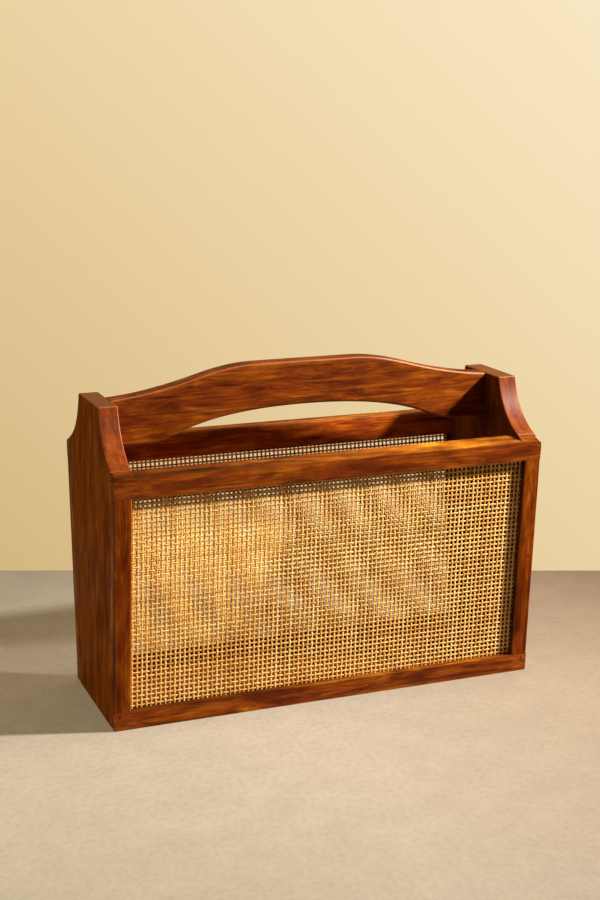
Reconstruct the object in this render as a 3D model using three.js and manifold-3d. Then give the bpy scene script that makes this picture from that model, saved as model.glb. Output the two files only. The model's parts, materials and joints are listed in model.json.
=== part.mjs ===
// Magazine basket. Two coved end panels carry a floor, an arched handle plank and
// two leaning frames. Each frame holds a sheet of open cane in a splined groove, and a
// batten stiffens its top rail from behind.
// Sizes are in millimetres. +X runs along the basket, -Y is its front and +Z is up.
// The origin lies on the floor under the middle of the basket.
import * as THREE from "three";
import { mergeVertices } from "three/addons/utils/BufferGeometryUtils.js";
import Module from "manifold-3d";

const wasm = await Module();
wasm.setup();

// Whole basket
const length = 400;
const baseDepth = 131;
const shoulderDepth = 170;
const frameHeight = 226;
const endPanelHeight = 277.5;

// End panels
const endPanelThickness = 18;
const neckWidth = 68;
const coveRadius = 62;

// Handle plank: reaches are shares of its half length, slopes are shares of the mean slope
const handleThickness = 18;
const crownRise = 23.7;
const crownDepth = 40.2;
const handleEndDepth = 41.5;
const crownFlatShare = 0.26;
const topBendReachShare = 0.55;
const topBendRiseShare = 0.645;
const topBendSlopeShare = 1.62;
const topEndSlopeShare = 0.35;
const archReachShare = 0.813;
const archBendReachShare = 0.648;
const archBendRiseShare = 0.34;
const archBendSlopeShare = 2.35;

// Frames
const frameThickness = 12;
const stileWidth = 15.4;
const topRailWidth = 17.4;
const bottomRailWidth = 16.6;
const frameCornerRadius = 3;
const shoulderRise = 3.4;

// Battens behind the top rails
const battenThickness = 12;
const battenWidth = 24;

// Rebate and groove behind each frame opening
const rebateDepth = 2.2;
const ledgeWidth = 2.5;
const grooveWidth = 3.4;
const grooveDepth = 3.5;

// Cane sheet and the splines that wedge its turned edge
const caneThickness = 1.8;
const caneEdgeThickness = 0.8;
const splineFootShare = 0.8;
const netColumns = 20;
const netRows = 11;
const netOpenShare = 0.5;

// Floor of the basket
const basePanelThickness = 8;
const basePanelLift = 3;
const housingDepth = 5;

// Dowels at the frame corners
const frameDowelDiameter = 4;
const frameDowelLength = 18;
const frameDowelInset = 9.8;
const frameDowelSetback = 3.4;

// Dowels at the handle ends
const handleDowelDiameter = 8;
const handleDowelLength = 30;
const handleDowelReach = 12;
const handleDowelHeightShares = [0.25, 0.75];
const dowelChamfer = 0.8;

// Frame nails, set under the surface
const nailShankDiameter = 1.6;
const nailHeadDiameter = 2.8;
const nailHeadThickness = 1;
const nailLength = 30;
const nailPointLength = 3;
const nailSetDepth = 1.2;
const nailInset = 5.5;
const nailHeightShares = [0.055, 0.51, 0.978];

// Clearances and rounding
const glueLine = 0.3;
const fitClearance = 0.2;
const edgeEase = 1.2;
const overrun = 6;
const easeSteps = 2;
const arcSteps = 9;
const roundSides = 10;

const lean = Math.atan((shoulderDepth - baseDepth) / 2 / frameHeight);
const frameSlope = frameHeight / Math.cos(lean);
const innerLength = length - 2 * endPanelThickness;
const openingLength = length - 2 * stileWidth;
const openingHeight = frameSlope - topRailWidth - bottomRailWidth;
const openingMiddle = bottomRailWidth + openingHeight / 2;
const shoulderHeight = frameHeight + frameThickness * Math.sin(lean) + shoulderRise * Math.cos(lean);
const handleHalf = innerLength / 2;
const handleEndBottom = endPanelHeight - handleEndDepth;
const crownHeight = endPanelHeight + crownRise;

// Half depth of the basket at a height, on a plane set back from the front faces.
function halfDepth(height, setback) {
  return baseDepth / 2 + height * Math.tan(lean) - setback / Math.cos(lean);
}

// Closed geometry as a solid that can be cut and joined.
function solidOf(geometry) {
  const bare = geometry.clone();
  bare.deleteAttribute("normal");
  bare.deleteAttribute("uv");
  const merged = mergeVertices(bare, 1e-4);
  const mesh = new wasm.Mesh({
    numProp: 3,
    vertProperties: new Float32Array(merged.attributes.position.array),
    triVerts: new Uint32Array(merged.index.array),
  });
  return new wasm.Manifold(mesh);
}

// Solid as flat-shaded geometry.
function geometryOf(solid) {
  const mesh = solid.getMesh();
  const geometry = new THREE.BufferGeometry();
  geometry.setAttribute("position", new THREE.BufferAttribute(mesh.vertProperties, 3));
  geometry.setIndex(new THREE.BufferAttribute(mesh.triVerts, 1));
  const faceted = geometry.toNonIndexed();
  faceted.computeVertexNormals();
  return faceted;
}

// Box between two corners.
function block(low, high) {
  const size = high.map((value, axis) => value - low[axis]);
  const middle = high.map((value, axis) => (value + low[axis]) / 2);
  return solidOf(new THREE.BoxGeometry(...size).translate(...middle));
}

// Shape made of straight lines through points.
function outlineOf(points) {
  return new THREE.Shape(points.map(([across, up]) => new THREE.Vector2(across, up)));
}

// Extruded shape, centred on zero depth, with its rim eased when asked.
function slab(shape, depth, ease = 0) {
  const geometry = new THREE.ExtrudeGeometry(shape, {
    depth: depth - 2 * ease,
    curveSegments: arcSteps,
    bevelEnabled: ease > 0,
    bevelSize: ease,
    bevelThickness: ease,
    bevelOffset: -ease,
    bevelSegments: easeSteps,
  });
  return geometry.translate(0, 0, ease - depth / 2);
}

// Slab of a shape drawn across the basket, with its depth along the basket.
function slabAlong(shape, depth, ease) {
  const turn = new THREE.Matrix4().makeBasis(
    new THREE.Vector3(0, 1, 0),
    new THREE.Vector3(0, 0, 1),
    new THREE.Vector3(1, 0, 0),
  );
  return slab(shape, depth, ease).applyMatrix4(turn);
}

// Slab of a shape drawn along the basket, with its depth across the basket.
function slabAcross(shape, depth, ease) {
  return slab(shape, depth, ease).rotateX(Math.PI / 2);
}

// Centre of the arc of a radius from one point to another, on its right-hand side.
function arcCentre(from, to, radius) {
  const chord = to.clone().sub(from);
  const half = chord.length() / 2;
  const rise = Math.sqrt(Math.max(radius * radius - half * half, 0));
  const side = new THREE.Vector2(chord.y, -chord.x).normalize();
  return from.clone().add(to).multiplyScalar(1 / 2).addScaledVector(side, -rise);
}

// Point where the tangents of two points meet, each given with its slope.
function tangentMeet(first, firstSlope, second, secondSlope) {
  const run = second.y - first.y - secondSlope * (second.x - first.x);
  const across = run / (firstSlope - secondSlope);
  return new THREE.Vector2(first.x + across, first.y + firstSlope * across);
}

// Peg turned about the Y axis, chamfered at both ends.
function peg(diameter, pegLength) {
  const radius = diameter / 2;
  const profile = [
    [0, 0],
    [radius - dowelChamfer, 0],
    [radius, dowelChamfer],
    [radius, pegLength - dowelChamfer],
    [radius - dowelChamfer, pegLength],
    [0, pegLength],
  ];
  const points = profile.map(([r, y]) => new THREE.Vector2(r, y));
  return new THREE.LatheGeometry(points, roundSides).translate(0, -pegLength / 2, 0);
}

// Round hole tool along the Y axis, from zero to its depth.
function drill(diameter, depth) {
  const radius = diameter / 2 + fitClearance;
  return new THREE.CylinderGeometry(radius, radius, depth, roundSides).translate(0, depth / 2, 0);
}

// Finishes of the pieces.
function woodFinish() {
  return new THREE.MeshStandardMaterial({ color: 0x7d3f19, roughness: 0.35, metalness: 0 });
}

function caneFinish() {
  return new THREE.MeshStandardMaterial({ color: 0xd8ab62, roughness: 0.45, metalness: 0 });
}

function reedFinish() {
  return new THREE.MeshStandardMaterial({ color: 0xb98a4c, roughness: 0.6, metalness: 0 });
}

function dowelFinish() {
  return new THREE.MeshStandardMaterial({ color: 0xc9a77a, roughness: 0.7, metalness: 0 });
}

function steelFinish() {
  return new THREE.MeshStandardMaterial({ color: 0x8c8c8c, roughness: 0.4, metalness: 1 });
}

function piece(name, geometry, finish) {
  const mesh = new THREE.Mesh(geometry, finish);
  mesh.name = name;
  return mesh;
}

// Heights of the nails up the slope of a frame.
const nailHeights = nailHeightShares.map((share) => share * frameSlope);

// Nail turned about the Y axis, its head at zero.
function nailGeometry() {
  const head = nailHeadDiameter / 2;
  const shank = nailShankDiameter / 2;
  const profile = [
    [0, 0],
    [head, 0],
    [head, nailHeadThickness],
    [shank, nailHeadThickness + head - shank],
    [shank, nailLength - nailPointLength],
    [0, nailLength],
  ];
  const points = profile.map(([r, y]) => new THREE.Vector2(r, y));
  return new THREE.LatheGeometry(points, roundSides);
}

// Stepped hole for a nail, open at the front face.
function nailHole() {
  const headDepth = nailSetDepth + nailHeadThickness + (nailHeadDiameter - nailShankDiameter) / 2;
  const wide = solidOf(drill(nailHeadDiameter, headDepth + overrun).translate(0, -overrun, 0));
  const narrow = solidOf(drill(nailShankDiameter, nailSetDepth + nailLength + fitClearance));
  return wide.add(narrow);
}

// The nail holes of one frame, in the frame's own axes.
function nailHoles() {
  let holes = null;
  for (const side of [-1, 1]) {
    for (const height of nailHeights) {
      const hole = nailHole().translate([side * (length / 2 - nailInset), 0, height]);
      holes = holes ? holes.add(hole) : hole;
    }
  }
  return holes;
}

// End panel: V-tapered board with a concave cove on each shoulder, at x = 0.
function endPanelOutline() {
  const neck = new THREE.Vector2(neckWidth / 2, endPanelHeight);
  const shoulderSetback = frameThickness + glueLine;
  const shoulder = new THREE.Vector2(halfDepth(shoulderHeight, shoulderSetback), shoulderHeight);
  const centre = arcCentre(neck, shoulder, coveRadius);
  const neckAngle = neck.clone().sub(centre).angle();
  const shoulderAngle = shoulder.clone().sub(centre).angle();
  const tangent = new THREE.Vector2(-Math.sin(shoulderAngle), Math.cos(shoulderAngle));
  const beyond = shoulder.clone().addScaledVector(tangent, overrun);
  const outline = new THREE.Shape();
  outline.moveTo(-neck.x, neck.y);
  outline.absarc(-centre.x, centre.y, coveRadius, Math.PI - neckAngle, Math.PI - shoulderAngle, true);
  outline.lineTo(-beyond.x, beyond.y);
  outline.lineTo(-beyond.x, 0);
  outline.lineTo(beyond.x, 0);
  outline.lineTo(beyond.x, beyond.y);
  outline.absarc(centre.x, centre.y, coveRadius, shoulderAngle, neckAngle, true);
  outline.lineTo(-neck.x, neck.y);
  return outline;
}

// Space between the backs of the two frames, as an outline across the basket.
function betweenFrames(low, high, setback) {
  return outlineOf([
    [-halfDepth(low, setback), low],
    [halfDepth(low, setback), low],
    [halfDepth(high, setback), high],
    [-halfDepth(high, setback), high],
  ]);
}

// Right-hand end panel, housed for the floor and drilled for dowels and nails.
function endPanelGeometry() {
  const inner = innerLength / 2;
  const setback = frameThickness + glueLine;
  const board = solidOf(slabAlong(endPanelOutline(), endPanelThickness, edgeEase));
  const between = betweenFrames(-overrun, endPanelHeight + overrun, setback);
  const trim = solidOf(slabAlong(between, endPanelThickness + overrun));
  const placed = board.intersect(trim).translate([inner + endPanelThickness / 2, 0, 0]);
  const floorTop = basePanelLift + basePanelThickness;
  const housing = block(
    [inner - overrun, -baseDepth, basePanelLift - fitClearance],
    [inner + housingDepth, baseDepth, floorTop + fitClearance],
  );
  let panel = placed.subtract(housing);
  for (const height of handleDowelHeights()) {
    const reach = handleDowelReach + fitClearance;
    const hole = drill(handleDowelDiameter, reach + overrun).rotateZ(-Math.PI / 2);
    panel = panel.subtract(solidOf(hole.translate(inner - overrun, 0, height)));
  }
  const holes = nailHoles();
  const front = holes.rotate([THREE.MathUtils.radToDeg(lean), 0, 0]).translate([0, -baseDepth / 2, 0]);
  return geometryOf(panel.subtract(front).subtract(front.rotate([0, 0, 180])));
}

// Heights of the two dowels in each handle end.
function handleDowelHeights() {
  return handleDowelHeightShares.map((share) => handleEndBottom + share * handleEndDepth);
}

// One half of the handle's top edge, from the crown to the neck.
function handleTop(path, side, outward) {
  const crown = new THREE.Vector2(crownFlatShare * handleHalf, crownHeight);
  const end = new THREE.Vector2(handleHalf, endPanelHeight);
  const bendHeight = endPanelHeight + topBendRiseShare * crownRise;
  const bend = new THREE.Vector2(topBendReachShare * handleHalf, bendHeight);
  const slope = crownRise / (end.x - crown.x);
  const upper = tangentMeet(crown, 0, bend, -topBendSlopeShare * slope);
  const lower = tangentMeet(bend, -topBendSlopeShare * slope, end, -topEndSlopeShare * slope);
  if (outward) {
    path.lineTo(side * crown.x, crown.y);
    path.quadraticCurveTo(side * upper.x, upper.y, side * bend.x, bend.y);
    path.quadraticCurveTo(side * lower.x, lower.y, side * end.x, end.y);
    path.lineTo(side * (end.x + overrun), end.y);
  } else {
    path.lineTo(side * (end.x + overrun), end.y);
    path.lineTo(side * end.x, end.y);
    path.quadraticCurveTo(side * lower.x, lower.y, side * bend.x, bend.y);
    path.quadraticCurveTo(side * upper.x, upper.y, side * crown.x, crown.y);
  }
}

// One half of the handle's underside, between the arch and the neck.
function handleUnderside(path, side, outward) {
  const arch = new THREE.Vector2(0, crownHeight - crownDepth);
  const foot = new THREE.Vector2(archReachShare * handleHalf, handleEndBottom);
  const rise = arch.y - foot.y;
  const bendHeight = foot.y + archBendRiseShare * rise;
  const bend = new THREE.Vector2(archBendReachShare * handleHalf, bendHeight);
  const slope = (archBendSlopeShare * rise) / foot.x;
  const upper = tangentMeet(arch, 0, bend, -slope);
  const lower = tangentMeet(bend, -slope, foot, 0);
  const end = handleHalf + overrun;
  if (outward) {
    path.quadraticCurveTo(side * upper.x, upper.y, side * bend.x, bend.y);
    path.quadraticCurveTo(side * lower.x, lower.y, side * foot.x, foot.y);
    path.lineTo(side * end, foot.y);
  } else {
    path.lineTo(side * end, foot.y);
    path.lineTo(side * foot.x, foot.y);
    path.quadraticCurveTo(side * lower.x, lower.y, side * bend.x, bend.y);
    path.quadraticCurveTo(side * upper.x, upper.y, 0, arch.y);
  }
}

// Handle: plank with a rising S along its top and an arch for the hand beneath.
function handleGeometry() {
  const outline = new THREE.Shape();
  outline.moveTo(0, crownHeight);
  handleTop(outline, -1, true);
  handleUnderside(outline, -1, false);
  handleUnderside(outline, 1, true);
  handleTop(outline, 1, false);
  outline.lineTo(0, crownHeight);
  const reach = [handleHalf, handleThickness, crownHeight + overrun];
  const plank = solidOf(slabAcross(outline, handleThickness, edgeEase));
  const span = block([-handleHalf, -handleThickness, 0], reach);
  let handle = plank.intersect(span);
  const depth = handleDowelLength - handleDowelReach + fitClearance;
  for (const height of handleDowelHeights()) {
    for (const side of [-1, 1]) {
      const hole = drill(handleDowelDiameter, depth + overrun).rotateZ((side * Math.PI) / 2);
      handle = handle.subtract(solidOf(hole.translate(side * (handleHalf + overrun), 0, height)));
    }
  }
  return geometryOf(handle);
}

// Floor of the basket: tapered edges meet the frames, and its ends sit in housings.
function basePanelGeometry() {
  const top = basePanelLift + basePanelThickness;
  const outline = betweenFrames(basePanelLift, top, frameThickness + glueLine);
  const panelLength = innerLength + 2 * (housingDepth - fitClearance);
  return slabAlong(outline, panelLength);
}

// Rounded outline of a frame, in its own axes: x along and y up the slope.
function frameOutline() {
  const half = length / 2;
  const radius = frameCornerRadius;
  const foot = -frameThickness * Math.tan(lean);
  const outline = new THREE.Shape();
  outline.absarc(half - radius, foot + radius, radius, -Math.PI / 2, 0);
  outline.absarc(half - radius, frameSlope - radius, radius, 0, Math.PI / 2);
  outline.absarc(radius - half, frameSlope - radius, radius, Math.PI / 2, Math.PI);
  outline.absarc(radius - half, foot + radius, radius, Math.PI, Math.PI * 1.5);
  const hole = new THREE.Path();
  hole.moveTo(-openingLength / 2, bottomRailWidth);
  hole.lineTo(-openingLength / 2, bottomRailWidth + openingHeight);
  hole.lineTo(openingLength / 2, bottomRailWidth + openingHeight);
  hole.lineTo(openingLength / 2, bottomRailWidth);
  outline.holes.push(hole);
  return outline;
}

// Block centred on the opening, wider than it by a margin, between two setbacks.
function openingBlock(margin, near, far) {
  const halfLength = openingLength / 2 + margin;
  const halfHeight = openingHeight / 2 + margin;
  return block(
    [-halfLength, near, openingMiddle - halfHeight],
    [halfLength, far, openingMiddle + halfHeight],
  );
}

// Ring round the opening, between two margins and two setbacks.
function openingRing(innerMargin, outerMargin, near, far) {
  const inner = openingBlock(innerMargin, near - overrun, far + overrun);
  return openingBlock(outerMargin, near, far).subtract(inner);
}

// Places of the four corner dowels of a frame.
function frameDowelPlaces() {
  const across = length / 2 - frameDowelInset;
  const joints = [bottomRailWidth, bottomRailWidth + openingHeight];
  return joints.flatMap((height) => [-across, across].map((x) => [x, frameDowelSetback, height]));
}

// Top ends of the stock, raised towards the back so that they carry on the coves.
function raisedEnds(stock) {
  const slope = shoulderRise / frameThickness;
  const shear = new THREE.Matrix4().makeShear(0, 0, 0, slope, 0, 0);
  const low = frameSlope - overrun;
  const region = block([-length, -overrun, low], [length, frameThickness + overrun, 2 * frameSlope]);
  const middle = block([-innerLength / 2, -length, -length], [innerLength / 2, length, 2 * frameSlope]);
  return stock.intersect(region).subtract(middle).transform(shear.elements);
}

// Whole frame as one piece of stock, worked before it is parted into its members.
function frameStock() {
  const eased = slabAcross(frameOutline(), frameThickness + 2 * edgeEase, edgeEase);
  const middle = frameThickness / 2 + edgeEase;
  const full = solidOf(eased.translate(0, middle, 0));
  const back = block([-length, frameThickness, -frameSlope], [length, 2 * frameThickness, 2 * frameSlope]);
  const floor = block([-length, -length, -length], [length, length, 0]);
  const tilt = -THREE.MathUtils.radToDeg(lean);
  const ledge = frameThickness - rebateDepth;
  const rebate = openingBlock(ledgeWidth + grooveWidth, ledge, frameThickness + overrun);
  const groove = openingRing(ledgeWidth, ledgeWidth + grooveWidth, ledge - grooveDepth, frameThickness);
  let stock = full.subtract(back).subtract(floor.rotate([tilt, 0, 0]));
  stock = stock.add(raisedEnds(stock));
  stock = stock.subtract(rebate).subtract(groove).subtract(nailHoles());
  for (const place of frameDowelPlaces()) {
    const depth = frameDowelLength + 2 * fitClearance;
    const hole = drill(frameDowelDiameter, depth).translate(0, -depth / 2, 0).rotateX(Math.PI / 2);
    stock = stock.subtract(solidOf(hole.translate(...place)));
  }
  return stock;
}

// Members of a frame, parted at the corner joints: name, side, geometry and finish.
function frameMembers() {
  const stock = frameStock();
  const half = glueLine / 2;
  const lower = bottomRailWidth;
  const upper = bottomRailWidth + openingHeight;
  const member = (name, side, [left, low], [right, high]) => {
    const region = block([left, -overrun, low], [right, frameThickness + overrun, high]);
    return [name, side, geometryOf(stock.intersect(region)), woodFinish];
  };
  return [
    member("top_rail", 1, [-length, upper + half], [length, 2 * frameSlope]),
    member("bottom_rail", 1, [-length, -frameSlope], [length, lower - half]),
    member("side_stile", -1, [-length, lower + half], [0, upper - half]),
    member("side_stile", 1, [0, lower + half], [length, upper - half]),
  ];
}

// Batten behind a top rail, between the end panels, flush with the rail's top.
function battenGeometry() {
  const near = frameThickness + glueLine;
  const far = near + battenThickness;
  const low = frameSlope - battenWidth;
  const section = outlineOf([
    [near, low],
    [far - edgeEase, low],
    [far, low + edgeEase],
    [far, frameSlope - edgeEase],
    [far - edgeEase, frameSlope],
    [near, frameSlope],
  ]);
  return slabAlong(section, innerLength - 2 * fitClearance);
}

// Cane sheet: a flat net over the opening, with its edge turned into the groove.
function caneGeometry() {
  const margin = ledgeWidth + fitClearance + caneEdgeThickness;
  const near = frameThickness - rebateDepth + fitClearance;
  const far = near + caneThickness;
  const floor = frameThickness - rebateDepth - grooveDepth + fitClearance;
  const turned = openingRing(margin - caneEdgeThickness, margin, floor, far);
  return geometryOf(openingBlock(margin, near, far).subtract(netGaps(near, far)).add(turned));
}

// Gaps of the net, in even columns and rows over the opening.
function netGaps(near, far) {
  const pitchAlong = openingLength / netColumns;
  const pitchUp = openingHeight / netRows;
  const gaps = [];
  for (let column = 0; column < netColumns; column += 1) {
    for (let row = 0; row < netRows; row += 1) {
      const left = -openingLength / 2 + pitchAlong * (column + (1 - netOpenShare) / 2);
      const low = bottomRailWidth + pitchUp * (row + (1 - netOpenShare) / 2);
      const corner = [left + pitchAlong * netOpenShare, far + overrun, low + pitchUp * netOpenShare];
      gaps.push(block([left, near - overrun, low], corner));
    }
  }
  return wasm.Manifold.union(gaps);
}

// Wedge-shaped spline of a length along X, its back face at zero depth.
function splineStrip(stripLength) {
  const width = grooveWidth - caneEdgeThickness - 3 * fitClearance;
  const depth = grooveDepth + caneThickness;
  const foot = width * splineFootShare;
  const section = outlineOf([
    [-depth, -foot / 2],
    [0, -width / 2],
    [0, width / 2],
    [-depth, foot / 2],
  ]);
  return slabAlong(section, stripLength);
}

// The four splines of a frame. The long ones run through and the short ones butt.
function splines() {
  const width = grooveWidth - caneEdgeThickness - 3 * fitClearance;
  const centre = ledgeWidth + 2 * fitClearance + caneEdgeThickness + width / 2;
  const back = frameThickness - rebateDepth + fitClearance + caneThickness;
  const halfHeight = openingHeight / 2 + centre;
  const halfLength = openingLength / 2 + centre;
  const long = 2 * halfLength + width;
  const short = 2 * halfHeight - width - 2 * glueLine;
  const level = (side) => splineStrip(long).translate(0, back, openingMiddle + side * halfHeight);
  const upright = (side) => {
    const strip = splineStrip(short).rotateY(Math.PI / 2);
    return strip.translate(side * halfLength, back, openingMiddle);
  };
  return [
    ["spline_top", 1, level(1), reedFinish],
    ["spline_bottom", 1, level(-1), reedFinish],
    ["spline_side", -1, upright(-1), reedFinish],
    ["spline_side", 1, upright(1), reedFinish],
  ];
}

// One framed cane panel. Turned half round, its negative side is the basket's right.
function framedPanel(position, geometries, turned) {
  const leaning = new THREE.Group();
  leaning.position.y = -baseDepth / 2;
  leaning.rotation.x = lean;
  for (const [name, sign, geometry, finish] of geometries) {
    const side = sign < 0 === turned ? "right" : "left";
    leaning.add(piece(`${position}_${name.replace("side", side)}`, geometry, finish()));
  }
  const whole = new THREE.Group();
  whole.add(leaning);
  whole.rotation.z = turned ? Math.PI : 0;
  return whole;
}

// Dowels of one frame: name, sign of the side they are on, geometry and finish.
function frameDowels() {
  return frameDowelPlaces().map(([x, setback, height]) => {
    const level = height > openingMiddle ? "top" : "bottom";
    const dowel = peg(frameDowelDiameter, frameDowelLength).rotateX(Math.PI / 2);
    return [`dowel_${level}_side`, Math.sign(x), dowel.translate(x, setback, height), dowelFinish];
  });
}

// Nails of one frame: name, sign of the side they are on, geometry and finish.
function frameNails() {
  const levels = ["bottom", "middle", "top"];
  return [-1, 1].flatMap((sign) =>
    nailHeights.map((height, index) => {
      const nail = nailGeometry().translate(sign * (length / 2 - nailInset), nailSetDepth, height);
      return [`nail_${levels[index]}_side`, sign, nail, steelFinish];
    }),
  );
}

// Handle with the dowels that pin its ends to the end panels.
function handleAssembly() {
  const group = new THREE.Group();
  group.add(piece("handle", handleGeometry(), woodFinish()));
  const levels = ["low", "high"];
  const middle = handleHalf + handleDowelReach - handleDowelLength / 2;
  for (const side of [-1, 1]) {
    handleDowelHeights().forEach((height, index) => {
      const name = `handle_dowel_${side < 0 ? "left" : "right"}_${levels[index]}`;
      const dowel = peg(handleDowelDiameter, handleDowelLength).rotateZ(Math.PI / 2);
      group.add(piece(name, dowel.translate(side * middle, 0, height), dowelFinish()));
    });
  }
  return group;
}

// The two end panels share one shape, turned half round.
function endPanels() {
  const group = new THREE.Group();
  const shape = endPanelGeometry();
  const right = piece("right_end_panel", shape, woodFinish());
  const left = piece("left_end_panel", shape, woodFinish());
  left.rotation.z = Math.PI;
  group.add(left, right);
  return group;
}

const framePieces = [...frameMembers(), ["cane_panel", 1, caneGeometry(), caneFinish]];
framePieces.push(["top_batten", 1, battenGeometry(), woodFinish]);
framePieces.push(...splines(), ...frameDowels(), ...frameNails());

const basket = new THREE.Group();
basket.add(endPanels());
basket.add(handleAssembly());
basket.add(piece("base_panel", basePanelGeometry(), woodFinish()));
basket.add(framedPanel("front", framePieces, false));
basket.add(framedPanel("rear", framePieces, true));

export default basket;
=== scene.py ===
import json
import math
import random

import bmesh
import bpy
from mathutils import Matrix, Vector
from mathutils.bvhtree import BVHTree


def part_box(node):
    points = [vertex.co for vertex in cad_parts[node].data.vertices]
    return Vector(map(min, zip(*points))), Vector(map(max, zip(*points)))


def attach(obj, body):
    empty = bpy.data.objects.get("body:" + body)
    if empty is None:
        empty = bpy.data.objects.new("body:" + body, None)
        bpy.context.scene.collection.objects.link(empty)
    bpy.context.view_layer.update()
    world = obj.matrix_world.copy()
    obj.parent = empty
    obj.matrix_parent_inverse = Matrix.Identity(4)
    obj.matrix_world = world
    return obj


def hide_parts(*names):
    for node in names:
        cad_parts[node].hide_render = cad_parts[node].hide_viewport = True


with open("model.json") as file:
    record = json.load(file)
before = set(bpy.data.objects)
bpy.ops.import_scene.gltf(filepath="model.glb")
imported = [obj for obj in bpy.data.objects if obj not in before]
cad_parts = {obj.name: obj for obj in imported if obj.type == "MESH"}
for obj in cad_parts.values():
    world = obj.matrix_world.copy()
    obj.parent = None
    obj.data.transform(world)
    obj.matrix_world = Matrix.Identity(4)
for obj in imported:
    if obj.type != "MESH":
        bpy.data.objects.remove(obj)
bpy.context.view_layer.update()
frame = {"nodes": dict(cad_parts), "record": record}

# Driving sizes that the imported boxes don't show
BASE_DEPTH = 0.131
SHOULDER_DEPTH = 0.170
FRAME_HEIGHT = 0.226
NECK_WIDTH = 0.068
COVE_RADIUS = 0.062
FRAME_THICKNESS = 0.012
STILE_WIDTH = 0.0154
TOP_RAIL_WIDTH = 0.0174
BOTTOM_RAIL_WIDTH = 0.0166
FRAME_CORNER_RADIUS = 0.003
SHOULDER_RISE = 0.0034
RISE_STEPS = 6
RISE_POWER = 1.7
BATTEN_THICKNESS = 0.012
BATTEN_WIDTH = 0.024

# Handle outline: reaches are shares of its half length, slopes shares of its mean slope
CROWN_DEPTH = 0.0402
CROWN_FLAT_SHARE = 0.26
TOP_BEND_REACH_SHARE = 0.55
TOP_BEND_RISE_SHARE = 0.645
TOP_BEND_SLOPE_SHARE = 1.62
TOP_END_SLOPE_SHARE = 0.35
ARCH_REACH_SHARE = 0.813
ARCH_BEND_REACH_SHARE = 0.648
ARCH_BEND_RISE_SHARE = 0.34
ARCH_BEND_SLOPE_SHARE = 2.35

# Rounding of the wood
EDGE_ROUND = 0.0013
HANDLE_ROUND = 0.0024
JOINT_ROUND = 0.0001
JOINT_GAP = 0.00012
EDGE_SEGMENTS = 4
MERGE_DISTANCE = 1e-6
CURVE_STEPS = 28
SHARP_ANGLE = math.radians(18)

# Woven cane
CANE_COLUMNS = 87
CANE_ROWS = 44
WEFT_WIDTH = 0.00174
WARP_WIDTH = 0.00187
CANE_THICKNESS = 0.00044
CANE_LIFT = 0.00023
CANE_SETBACK = 0.0059
CANE_TUCK = 0.0022
CANE_WANDER = 0.00034
CANE_STEPS = 4
CANE_SIDES = 6

# Varnished wood: its body from dark to light, as places round the middle and colours
WOOD_BODY = (
    (-0.20, (0.080, 0.0085, 0.0006)),
    (-0.06, (0.18, 0.028, 0.0012)),
    (0.05, (0.29, 0.060, 0.0025)),
    (0.19, (0.50, 0.155, 0.008)),
)
WHITE = (1.0, 1.0, 1.0)
CLOUD_TONE = (0.50, 0.42, 0.38)
END_GRAIN_TONE = (0.115, 0.047, 0.016)
WORN_AND_HIGHLIGHT_TONE = (0.56, 0.19, 0.03)
VARNISH_TINT = (1.0, 0.60, 0.24, 1.0)
VARNISH_ROUGHNESS = 0.46
WOOD_RELIEF = (0.22, 0.0006)

# How fast each layer of the wood changes along the grain, across it and into the board
FIGURE_STRETCH = (16, 66, 130)
STREAK_STRETCH = (7, 210, 420)
PATCH_STRETCH = (22, 36, 55)
FIBRE_STRETCH = (60, 1000, 1500)
PORE_STRETCH = (110, 2200, 2200)
WAVE_STRETCH = (14, 60, 60)

# Painted light on the rails' tops, along the basket: painted shade at the left, a painted golden
# highlight towards the right, a painted shadow at the right end; then the duller varnish of these
# tops
TOP_PAINTED_SHADE = (0.36, 0.44, 0.55)
TOP_PAINTED_LIGHT = (1.06, 1.06, 1.0)
TOP_PAINTED_SHADOW = (0.66, 0.52, 0.5)
TOP_PAINTED_HIGHLIGHT = (1.05, 1.75, 2.1)
TOP_PAINTED_LIGHT_SLOPE = 3.6
TOP_PAINTED_LIGHT_START = 0.43
TOP_PAINTED_LIGHT_TONES = (
    (0.0, TOP_PAINTED_SHADE),
    (0.72, TOP_PAINTED_LIGHT),
    (0.9, TOP_PAINTED_LIGHT),
    (1.0, TOP_PAINTED_SHADOW),
)
TOP_PAINTED_HIGHLIGHT_PLACES = ((0.07, 0.0), (0.72, 1.0))
HANDLED_POLISH = (0.1, 0.1, 0.1)
HANDLED_ROUGHNESS = (0.62, 0.62, 0.62)

# Painted light on the flat faces of the end boards and stiles that look along the basket: painted
# light on the left ones, painted shade on the right ones
FLANK_PAINTED_LIGHT = {"left": (1.2, 1.6, 1.7), "right": (0.47, 0.64, 2.0)}

# Cane: tones from its darkest strands to its palest
CANE_TONES = (
    (0.0, (0.56, 0.27, 0.062)),
    (0.35, (0.74, 0.415, 0.115)),
    (0.7, (0.83, 0.50, 0.16)),
    (1.0, (0.88, 0.60, 0.23)),
)
CANE_BLOTCH_TONE = (0.82, 0.70, 0.52)
CANE_TINT = (1.0, 0.78, 0.48, 1.0)

# Filled nail marks
NAIL_MARK_RADIUS = 0.00135
NAIL_MARK_DEPTH = 0.0006
NAIL_MARK_PROUD = 0.00006
NAIL_INSET = 0.0055
NAIL_HEIGHT_SHARES = (0.055, 0.51, 0.978)

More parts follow.
